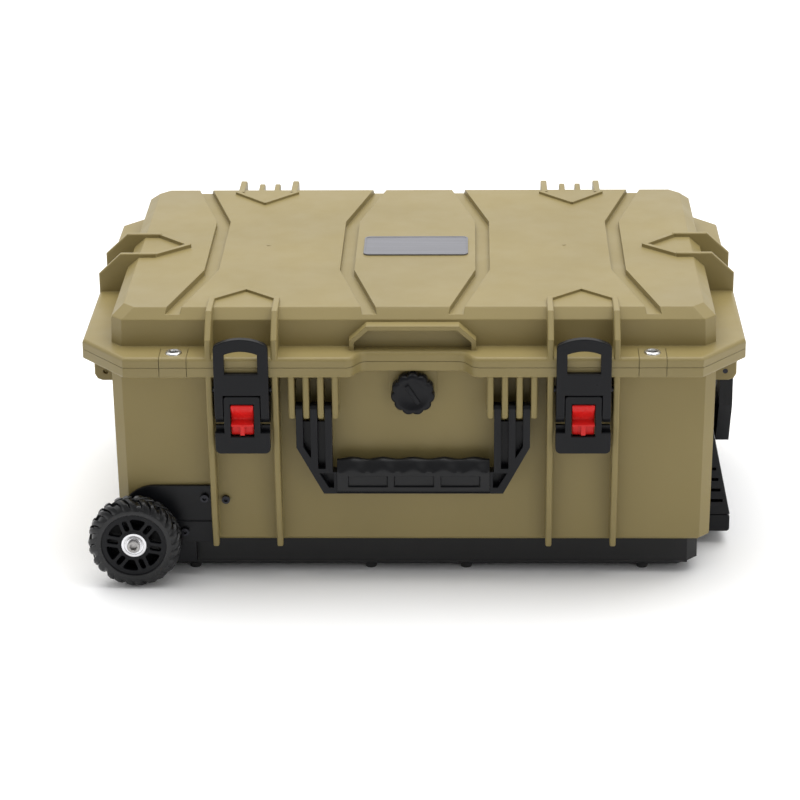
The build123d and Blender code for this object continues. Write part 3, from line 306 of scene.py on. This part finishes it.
def plate(outer, holes, low, high, soften, place):
    """A flat plate with holes, its rims rounded, from low to high along the place's own Z."""
    curve = bpy.data.curves.new("plate", "CURVE")
    curve.dimensions = "2D"
    curve.fill_mode = "BOTH"
    for number, loop in enumerate([outer, *holes]):
        wound = area_of(loop) > 0
        points = loop if wound == (number == 0) else loop[::-1]
        spline = curve.splines.new("POLY")
        spline.points.add(len(points) - 1)
        for point, (x, y) in zip(spline.points, points):
            point.co = (x, y, 0, 1)
        spline.use_cyclic_u = True
    curve.extrude = (high - low) / 2 - soften
    curve.bevel_depth = soften
    curve.offset = -soften
    curve.bevel_resolution = 3
    holder = bpy.data.objects.new("plate", curve)
    bpy.context.scene.collection.objects.link(holder)
    seen = holder.evaluated_get(bpy.context.evaluated_depsgraph_get())
    mesh = bpy.data.meshes.new_from_object(seen)
    bpy.data.objects.remove(holder)
    bpy.data.curves.remove(curve)
    mesh.transform(place @ Matrix.Translation((0, 0, (low + high) / 2)))
    tidy(mesh)
    return mesh


def lathe(profile, place, count=64):
    """A closed ring turned about the place's Z; the profile is a closed loop of (radius, height)."""
    points = []
    faces = []
    rows = len(profile)
    for k in range(count):
        turn = 2 * math.pi * k / count
        for radius, height in profile:
            points.append(place @ Vector((radius * math.cos(turn), radius * math.sin(turn), height)))
    for k in range(count):
        for i in range(rows):
            a, b = k * rows + i, k * rows + (i + 1) % rows
            c, d = ((k + 1) % count) * rows + (i + 1) % rows, ((k + 1) % count) * rows + i
            faces.append((a, b, c, d))
    return mesh_from(points, faces)


def skin(rings, close_ends=True):
    """A skin over rings of equally many points."""
    points = [p for ring in rings for p in ring]
    size = len(rings[0])
    faces = []
    for k in range(len(rings) - 1):
        for i in range(size):
            j = (i + 1) % size
            faces.append((k * size + i, k * size + j, (k + 1) * size + j, (k + 1) * size + i))
    if close_ends:
        faces.append(tuple(range(size))[::-1])
        faces.append(tuple((len(rings) - 1) * size + i for i in range(size)))
    return mesh_from(points, faces)


def facing_front(x, z):
    """A place whose X is +X, whose Y is up and whose Z points out of the front."""
    turn = Matrix(((1, 0, 0), (0, 0, -1), (0, 1, 0))).to_4x4()
    return Matrix.Translation((x, 0, z)) @ turn


def facing_side(side, x, z):
    """The same for a wheel: side -1 is the front of the case and +1 its rear."""
    turn = Matrix(((-side, 0, 0), (0, 0, side), (0, 1, 0))).to_4x4()
    return Matrix.Translation((x, 0, z)) @ turn


# ---------------------------------------------------------------- wheels
TREAD_PITCHES = 25
TREAD_DEPTH = 3.0 * MM
SPOKE_TURN = math.radians(20)


def tyre_mesh(place):
    """Tyre with a flat sidewall and faceted lugs that zigzag down over both shoulders."""
    half = (WHEEL_OUT - WHEEL_IN) / 2
    middle = (WHEEL_OUT + WHEEL_IN) / 2
    shoulder = [
        (0.5 * MM, 27.8, 0, 0.0), (0.0, 28.4, 0, 0.0), (0.0, 31.6, 0, 0.0), (0.25 * MM, 32.3, 0, 0.0),
        (0.5 * MM, 33.2, 0.45, 0.0), (1.1 * MM, 35.6, 0.9, 0.12), (2.6 * MM, 37.9, 1, 0.3),
        (5.2 * MM, 39.5, 1, 0.5), (9.4 * MM, 40.0, 1, 0.78),
    ]
    section = [(-half + inset, radius, lug, -lean) for inset, radius, lug, lean in shoulder]
    section += [(half - inset, radius, lug, lean + 0.5) for inset, radius, lug, lean in reversed(shoulder)]
    marks = ((0.0, 0.0), (0.07, 0.86), (0.32, 1.0), (0.57, 0.80), (0.66, 0.0))
    rings = []
    for depth, radius, lug, lean in section:
        ring = []
        for pitch in range(TREAD_PITCHES):
            flip = 0.10 if pitch % 2 else -0.10
            for share, high in marks:
                turn = 2 * math.pi * (pitch + share + lean + flip * lug) / TREAD_PITCHES
                r = radius * MM - TREAD_DEPTH * lug * (1 - high)
                ring.append(place @ Vector((r * math.cos(turn), r * math.sin(turn), middle + depth)))
        rings.append(ring)
    rings.append(rings[0])
    return skin(rings, close_ends=False)


def spoke_holes():
    """Six wedge-shaped windows and, between them, six slots."""
    holes = []
    for k in range(6):
        middle = SPOKE_TURN + k * math.pi / 3
        wide, narrow = math.radians(17.5), math.radians(9)
        outer = [(23.6 * MM, middle + wide * s / 3) for s in range(-3, 4)]
        inner = [(14.2 * MM, middle + narrow), (14.2 * MM, middle - narrow)]
        corners = [(r * math.cos(a), r * math.sin(a)) for r, a in outer + inner]
        holes.append(rounded(corners, [1.4 * MM] + [0] * 5 + [1.4 * MM] + [1.2 * MM] * 2, 4))
        slot = middle + math.pi / 6
        turn = Matrix.Rotation(slot, 2)
        box = [(13.6, -2.1), (23.2, -2.1), (23.2, 2.1), (13.6, 2.1)]
        holes.append(rounded([tuple(turn @ Vector((x * MM, y * MM))) for x, y in box], 1.9 * MM, 5))
    return holes


def rim_mesh(place):
    """Spoked wheel: windowed face, deep barrel, hub boss and an inner web."""
    face = WHEEL_OUT - 1.3 * MM
    windows = plate(circle(28.0 * MM, 96), spoke_holes() + [circle(11.1 * MM, 64)], face - 4.5 * MM, face,
                    0.45 * MM, place)
    barrel = lathe([
        (27.9 * MM, WHEEL_IN + 0.6 * MM), (27.9 * MM, face - 1.0 * MM), (25.2 * MM, face - 1.0 * MM),
        (24.6 * MM, face - 5 * MM), (24.6 * MM, WHEEL_IN + 0.6 * MM),
    ], place, 96)
    hub = lathe([
        (11.15 * MM, WHEEL_IN + 0.4 * MM), (11.15 * MM, face + 0.5 * MM), (12.4 * MM, face + 0.5 * MM),
        (12.9 * MM, face), (13.6 * MM, WHEEL_IN + 0.4 * MM),
    ], place)
    web = lathe([
        (13.0 * MM, WHEEL_IN + 4 * MM), (13.0 * MM, WHEEL_IN + 6 * MM), (25.0 * MM, WHEEL_IN + 6 * MM),
        (25.0 * MM, WHEEL_IN + 4 * MM),
    ], place)
    return joined([windows, barrel, hub, web])


def bearing_mesh(place):
    """Shielded bearings seen as races with a dished shield between, one each side."""
    rings = []
    for out, seat in ((1, WHEEL_OUT - 1.0 * MM), (-1, WHEEL_IN + 0.6 * MM)):
        profile = [
            (11.0, -6.5), (11.0, -0.7), (10.6, -0.1), (10.2, 0), (8.6, -0.1), (8.2, -0.7), (6.9, -0.9),
            (6.6, -0.2), (5.2, -0.1), (4.6, -0.5), (4.6, -6.5),
        ]
        rings.append(lathe([(r * MM, seat + out * h * MM) for r, h in profile], place))
    return joined(rings)


def axle_mesh(place, low, high):
    """Axle bolt with a deep socket in its low head."""
    shoulder = high - 5 * MM
    shank = lathe([(0.4 * MM, low), (4.0 * MM, low), (4.0 * MM, shoulder), (0.4 * MM, shoulder)], place)
    head = plate(circle(5.5 * MM), [circle(3.1 * MM, 6)], high - 4.2 * MM, high, 0.8 * MM, place)
    floor = lathe([
        (0.1 * MM, high - 5.0 * MM), (0.1 * MM, high - 3.6 * MM), (4.0 * MM, high - 3.6 * MM),
        (4.0 * MM, high - 5.0 * MM),
    ], place)
    return joined([shank, head, floor])


for end, side in (("front", -1), ("rear", 1)):
    hub_place = facing_side(side, WHEEL_X, WHEEL_Z)
    body = f"wheel_{end}"
    finish_piece(f"treaded_tyre_{end}", tyre_mesh(hub_place), TYRE, body,
                 [f"wheel_tyre_{end}"], 25)
    finish_piece(f"spoked_rim_{end}", rim_mesh(hub_place), BLACK, body, [f"wheel_rim_{end}"])
    finish_piece(f"shielded_bearings_{end}", bearing_mesh(hub_place), BEARING, body,
                 [f"wheel_bearings_{end}"])
    axle_low, axle_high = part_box(f"wheel_axle_{end}")
    reach = sorted((abs(axle_low.y), abs(axle_high.y)))
    finish_piece(f"socket_axle_{end}", axle_mesh(hub_place, *reach), AXLE, "body",
                 [f"wheel_axle_{end}"])


# ---------------------------------------------------------------- eyelets and label
def eyelet_mesh(x, y, top, bottom, out):
    """A rolled metal eyelet; out is +1 when its flange is on top and -1 when it is underneath."""
    place = Matrix.Translation((x, y, 0))
    flange = top if out > 0 else bottom
    foot = bottom if out > 0 else top
    profile = [
        (4.0, flange - out * 1.0 * MM), (4.1, flange - out * 0.2 * MM), (4.5, flange + out * 0.35 * MM),
        (5.1, flange + out * 0.5 * MM), (5.9, flange + out * 0.25 * MM), (6.6, flange - out * 0.35 * MM),
        (7.0, flange - out * 1.0 * MM), (7.0, flange - out * 1.28 * MM),
        (5.1, flange - out * 1.28 * MM), (5.1, foot), (4.0, foot),
    ]
    return lathe([(r * MM, z) for r, z in profile], place)


eyelet_x = EYELET_HIGH.x - 7.0 * MM
eyelet_y = (EYELET_LOW.y + EYELET_HIGH.y) / 2
for owner, out in (("lid", 1), ("body", -1)):
    low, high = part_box(f"{owner}_eyelets")
    rolled = joined([eyelet_mesh(side * eyelet_x, eyelet_y, high.z, low.z, out) for side in (-1, 1)])
    finish_piece(f"rolled_eyelets_{owner}", rolled, STEEL, owner, [f"{owner}_eyelets"])

label_half = (LABEL_HIGH - LABEL_LOW) / 2
label_middle = (LABEL_HIGH + LABEL_LOW) / 2
label_place = Matrix.Translation((label_middle.x, label_middle.y, 0))


def slab(half_x, half_y, radius):
    corners = [(-half_x, -half_y), (half_x, -half_y), (half_x, half_y), (-half_x, half_y)]
    return rounded(corners, radius, 8)


window = slab(label_half.x - 1.6 * MM, label_half.y - 1.6 * MM, 3.6 * MM)
frame_rim = plate(slab(label_half.x, label_half.y, 5 * MM), [window], LABEL_LOW.z, LABEL_HIGH.z, 0.3 * MM,
                  label_place)
panel = plate(slab(label_half.x - 1.5 * MM, label_half.y - 1.5 * MM, 3.6 * MM), [], LABEL_LOW.z,
              LABEL_HIGH.z - 0.35 * MM, 0.15 * MM, label_place)
finish_piece("blank_label", joined([frame_rim, panel]), LABEL, "lid", ["label_plate"])


# ---------------------------------------------------------------- carry handle grips
GRIP_WAVES = 5


def grip_mesh(place):
    """Soft grip lofted along its length: finger waves on top, three shallow windows in front."""
    half = (GRIP_HIGH.x - GRIP_LOW.x) / 2
    low, high = GRIP_LOW.z, GRIP_HIGH.z
    front, back = -GRIP_LOW.y, -GRIP_HIGH.y
    windows = ((-55, -22), (-16, 17), (23, 56))
    stops = set()
    for start, end in windows:
        stops.update((start - 0.5, start + 0.5, end - 0.5, end + 0.5))
    count = 84
    stops.update(-64.3 + 128.6 * k / count for k in range(count + 1))
    rings = []
    for x in sorted(stops):
        wave = 0.5 + 0.5 * math.cos(2 * math.pi * GRIP_WAVES * (x * MM + half) / (2 * half) + math.pi)
        crest = high - 1.9 * MM * (1 - wave)
        belly = 1.5 * MM * wave
        inside = any(start <= x <= end for start, end in windows)
        sunk = 2.2 * MM if inside else 0.0
        shoulder = crest - 9.0 * MM
        profile = [
            (back + 2.0 * MM, low), (front - 1.6 * MM, low), (front - 0.5 * MM, low + 0.5 * MM),
            (front - 0.2 * MM, low + 1.8 * MM), (front - 0.2 * MM, low + 4.6 * MM),
            (front - 0.2 * MM - sunk, low + 5.4 * MM), (front - 0.2 * MM - sunk, low + 13.9 * MM),
            (front - 0.2 * MM, low + 14.7 * MM), (front - 0.2 * MM, low + 16.6 * MM),
            (front, low + 18.2 * MM), (front - 0.9 * MM + belly * 0.4, shoulder),
            (front - 2.2 * MM + belly * 0.8, shoulder + 2.8 * MM),
            (front - 3.9 * MM + belly, shoulder + 5.6 * MM),
            (front - 5.3 * MM + belly * 0.5, crest - 1.0 * MM), (front - 6.6 * MM, crest),
            (back + 3.6 * MM, crest - 0.1 * MM), (back + 1.6 * MM, crest - 1.3 * MM),
            (back + 0.3 * MM, crest - 3.6 * MM), (back, crest - 7 * MM), (back, low + 3 * MM),
            (back + 0.6 * MM, low + 0.8 * MM),
        ]
        rings.append([place @ Vector((x * MM, z, y)) for y, z in profile])
    return skin(rings)


front_place = facing_front(0, 0)
finish_piece("front_soft_grip", grip_mesh(front_place), GRIP, "front_handle",
             ["front_handle_grip"], 50)
SIDE_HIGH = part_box("side_handle_grip")[1]
side_turn = Matrix(((0, 0, 1), (1, 0, 0), (0, 1, 0))).to_4x4()
side_place = Matrix.Translation((SIDE_HIGH.x + GRIP_LOW.y, 0, 0)) @ side_turn
finish_piece("side_soft_grip", grip_mesh(side_place), GRIP, "side_handle",
             ["side_handle_grip"], 50)


# ---------------------------------------------------------------- purge valve knob
def knob_mesh():
    """Lobed hand knob with a dished face and a raised bar across it."""
    z = (KNOB_LOW.z + KNOB_HIGH.z) / 2 - 0.1 * MM
    place = facing_front(0, z)
    out = -KNOB_LOW.y
    lobes = 11
    reach = (KNOB_HIGH.z - KNOB_LOW.z) / 2 - 0.15 * MM

    def ring(scale, height, wave):
        points = []
        for k in range(lobes * 16):
            turn = 2 * math.pi * k / (lobes * 16) + math.pi / 2
            lobe = abs(math.cos(lobes * (turn - math.pi / 2) / 2)) ** 0.7
            radius = reach * scale - wave * (1 - lobe)
            points.append(place @ Vector((radius * math.cos(turn), radius * math.sin(turn), height)))
        return points

    rings = [
        ring(0.96, out - 10.4 * MM, 1.7 * MM), ring(1.0, out - 9.6 * MM, 1.9 * MM),
        ring(1.0, out - 2.6 * MM, 1.9 * MM), ring(0.975, out - 1.2 * MM, 1.8 * MM),
        ring(0.90, out - 0.35 * MM, 1.3 * MM), ring(0.80, out, 0.7 * MM),
        ring(0.70, out - 0.1 * MM, 0.2 * MM), ring(0.62, out - 1.2 * MM, 0.0),
        ring(0.20, out - 1.5 * MM, 0.0),
    ]
    long, wide = 9.6 * MM, 1.9 * MM
    bar = rounded([(-long, -wide), (long, -wide), (long, wide), (-long, wide)], 1.2 * MM)
    tilt = place @ Matrix.Rotation(math.radians(-58), 4, "Z")
    raised = plate(bar, [], out - 2.0 * MM, out - 0.2 * MM, 0.6 * MM, tilt)
    stem = lathe([
        (0.4 * MM, -KNOB_HIGH.y), (4.9 * MM, -KNOB_HIGH.y), (4.9 * MM, out - 9.8 * MM),
        (0.4 * MM, out - 9.8 * MM),
    ], place)
    return joined([skin(rings), raised, stem])


finish_piece("lobed_knob", knob_mesh(), BLACK, "valve", ["valve_knob"], 40)


# ---------------------------------------------------------------- latch buttons
def button_mesh(x):
    """Red press button: a scooped face that ends in a ledge with a centre rib."""
    out = -BUTTON_LOW.y
    low, high = BUTTON_LOW.z, BUTTON_HIGH.z
    half = (BUTTON_HIGH.x - BUTTON_LOW.x) / 2
    back = out - 8.2 * MM
    scoop = []
    for k in range(13):
        share = k / 12
        drop = 5.4 * MM * math.sin(math.pi * min(1.0, share * 1.18) * 0.5) ** 2
        fade = 1 if share < 0.86 else (1 - share) / 0.14 * 0.9 + 0.1
        scoop.append((out - 0.25 * MM - drop * fade, high - 1.0 * MM - share * (high - low - 11.4 * MM)))
    ledge = low + 10.4 * MM
    profile = [(back, low), (back, high), (out - 1.4 * MM, high), (out - 0.6 * MM, high - 0.35 * MM)] + scoop
    profile += [
        (out - 0.1 * MM, ledge - 0.3 * MM), (out, ledge - 1.0 * MM), (out - 0.1 * MM, ledge - 1.8 * MM),
        (out - 3.6 * MM, ledge - 2.4 * MM), (out - 3.8 * MM, low + 0.6 * MM), (out - 4.2 * MM, low),
    ]
    rings = []
    for share in (-1, -0.94, -0.88, -0.4, 0, 0.4, 0.88, 0.94, 1):
        inset = {1.0: 0.6, 0.94: 0.18}.get(abs(share), 0.0) * MM
        ring = []
        for depth, height in profile:
            y = depth - (inset if depth > back + 1 * MM else 0)
            ring.append(Vector((x + share * half, -y, min(max(height, low + inset), high - inset))))
        rings.append(ring)
    wide, foot, head = 1.9 * MM, low + 0.4 * MM, ledge - 1.4 * MM
    outline = rounded([(-wide, foot), (wide, foot), (wide, head), (-wide, head)], 0.4 * MM, 3)
    rib = plate(outline, [], out - 5 * MM, out - 0.5 * MM, 0.35 * MM, facing_front(x, 0))
    return joined([skin(rings), rib])


for side, x in (("left", -LATCH_X), ("right", LATCH_X)):
    finish_piece(f"scooped_button_{side}", button_mesh(x), RED, f"latch_button_{side}",
                 [f"latch_button_{side}"], 35)


# ---------------------------------------------------------------- floor, light and camera
FLOOR_SEEN = 1.0         # what the camera sees of the floor
FLOOR_BOUNCE = 0.95      # what the floor gives back to the case, a little less
FLOOR_REACH = 30.0


def stage_floor():
    mesh = bpy.data.meshes.new("studio_floor")
    corners = [(x * FLOOR_REACH, y * FLOOR_REACH, 0) for x, y in ((-1, -1), (1, -1), (1, 1), (-1, 1))]
    mesh.from_pydata(corners, [], [(0, 1, 2, 3)])
    floor = bpy.data.objects.new("studio_floor", mesh)
    bpy.context.scene.collection.objects.link(floor)
    make = Nodes("pale_floor")
    seen = make.add("ShaderNodeRGB")
    seen.outputs[0].default_value = (FLOOR_SEEN, FLOOR_SEEN, FLOOR_SEEN, 1)
    bounce = make.add("ShaderNodeRGB")
    bounce.outputs[0].default_value = (FLOOR_BOUNCE, FLOOR_BOUNCE, FLOOR_BOUNCE, 1)
    path = make.add("ShaderNodeLightPath")
    tone = make.mix(path.outputs["Is Camera Ray"], bounce.outputs[0], seen.outputs[0])
    make.join(tone, make.shader.inputs["Base Color"])
    make.shader.inputs["Roughness"].default_value = 0.75
    make.shader.inputs["Specular IOR Level"].default_value = 0.1
    paint(floor, make.material)


def softbox(name, place, aim, size, power):
    light = bpy.data.lights.new(name, "AREA")
    light.shape = "RECTANGLE"
    light.size, light.size_y = size
    light.energy = power
    holder = bpy.data.objects.new(name, light)
    holder.location = place
    holder.rotation_euler = (Vector(aim) - Vector(place)).to_track_quat("-Z", "Y").to_euler()
    bpy.context.scene.collection.objects.link(holder)


WORLD_FRONT, WORLD_BACK = 0.34, 1.2      # the room is dimmer on the camera's side


def studio():
    world = bpy.data.worlds.new("studio")
    world.use_nodes = True
    nodes, links = world.node_tree.nodes, world.node_tree.links
    back = nodes["Background"]
    back.inputs["Color"].default_value = (1, 1, 1, 1)
    parts = nodes.new("ShaderNodeSeparateXYZ")
    links.new(nodes.new("ShaderNodeTexCoord").outputs["Generated"], parts.inputs[0])
    grade = nodes.new("ShaderNodeMapRange")
    grade.inputs["From Min"].default_value, grade.inputs["From Max"].default_value = -0.9, 0.9
    grade.inputs["To Min"].default_value, grade.inputs["To Max"].default_value = WORLD_FRONT, WORLD_BACK
    links.new(parts.outputs["Y"], grade.inputs["Value"])
    links.new(grade.outputs["Result"], back.inputs["Strength"])
    bpy.context.scene.world = world
    softbox("overhead", (0.1, 0.35, 2.6), (0, 0, 0.1), (3.4, 2.4), 76)
    softbox("front_fill", (1.9, -2.4, 1.1), (0, 0, 0.15), (1.2, 1.6), 6)
    bpy.context.scene.view_settings.view_transform = "Standard"


LENS = 129.04
CAMERA_PLACE = (0.04874, -2.41638, 1.05047)
CAMERA_TURN = math.radians(1.529)
CAMERA_TILT = math.radians(21.626)
CAMERA_ROLL = math.radians(-0.589)


def camera():
    """A long lens, turned a little left and tilted down on the case."""
    data = bpy.data.cameras.new("camera")
    data.sensor_width = 36.0
    data.lens = LENS
    data.clip_end = 100.0
    holder = bpy.data.objects.new("camera", data)
    stand = Matrix.Translation(CAMERA_PLACE)
    aim = Matrix.Rotation(CAMERA_TURN, 4, "Z") @ Matrix.Rotation(math.pi / 2 - CAMERA_TILT, 4, "X")
    holder.matrix_world = stand @ aim @ Matrix.Rotation(CAMERA_ROLL, 4, "Z")
    bpy.context.scene.collection.objects.link(holder)
    bpy.context.scene.camera = holder


stage_floor()
studio()
camera()

bpy.context.view_layer.update()
